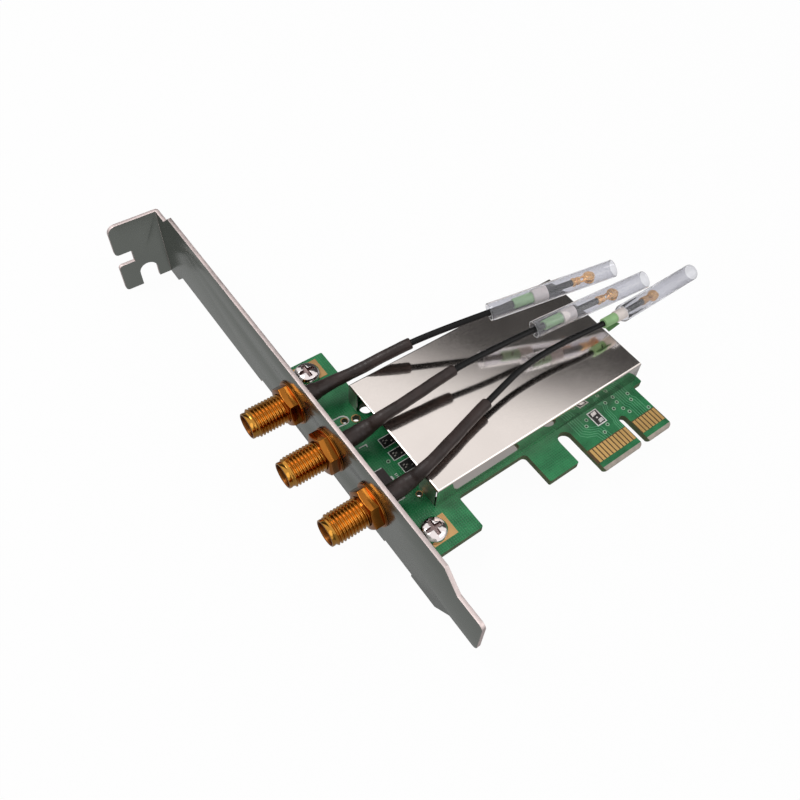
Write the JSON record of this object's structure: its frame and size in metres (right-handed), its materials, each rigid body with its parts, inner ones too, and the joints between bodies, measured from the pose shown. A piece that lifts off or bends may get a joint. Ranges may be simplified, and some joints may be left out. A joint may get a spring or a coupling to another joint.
{
  "type": "mini pcie adapter card",
  "caption": "Circuit board on a full-height slot bracket with threaded antenna jacks, coaxial leads and a folded cover over a mini card bay.",
  "frame": {"origin": "on the bracket's outer face, level with the board's contact edge and its component side", "axes": "+X into the computer, +Y along the bracket away from the slot, +Z out of the board's component side"},
  "size_m": [0.1065, 0.12, 0.0289],
  "materials": {
    "nickel_steel": "polished nickel plate",
    "tinplate": "bright tinplate, fine rolling grain",
    "circuit_green": "satin solder resist",
    "contact_gold": "gold plate",
    "jack_gold": "bright gold plate",
    "screw_chrome": "bright",
    "insulator_white": "waxy",
    "boot_black": "satin shrink sleeve",
    "cable_black": "smooth jacket",
    "label_green": "film",
    "sleeve_white": "matt",
    "tube_clear": "clear soft plastic",
    "socket_black": "moulded"
  },
  "bodies": {
    "root": {"bracket": "nickel_steel", "circuit_board": "circuit_green", "edge_contacts": "contact_gold", "solder_pads": "contact_gold", "shield_cover": "tinplate", "board_screw_lower": "screw_chrome", "board_screw_upper": "screw_chrome", "mini_card_socket": "socket_black", "socket_contacts": "contact_gold", "antenna_jack_1": "jack_gold", "jack_nut_1": "jack_gold", "jack_washer_1": "jack_gold", "jack_contact_1": "contact_gold", "jack_insulator_1": "insulator_white", "heat_shrink_boot_1": "boot_black", "coax_cable_1": "cable_black", "cable_label_1": "label_green", "cable_sleeve_1": "sleeve_white", "clear_tube_1": "tube_clear", "coax_plug_1": "contact_gold", "antenna_jack_2": "jack_gold", "jack_nut_2": "jack_gold", "jack_washer_2": "jack_gold", "jack_contact_2": "contact_gold", "jack_insulator_2": "insulator_white", "heat_shrink_boot_2": "boot_black", "coax_cable_2": "cable_black", "cable_label_2": "label_green", "cable_sleeve_2": "sleeve_white", "clear_tube_2": "tube_clear", "coax_plug_2": "contact_gold", "antenna_jack_3": "jack_gold", "jack_nut_3": "jack_gold", "jack_washer_3": "jack_gold", "jack_contact_3": "contact_gold", "jack_insulator_3": "insulator_white", "heat_shrink_boot_3": "boot_black", "coax_cable_3": "cable_black", "cable_label_3": "label_green", "cable_sleeve_3": "sleeve_white", "clear_tube_3": "tube_clear", "coax_plug_3": "contact_gold"}
  },
  "joints": []
}
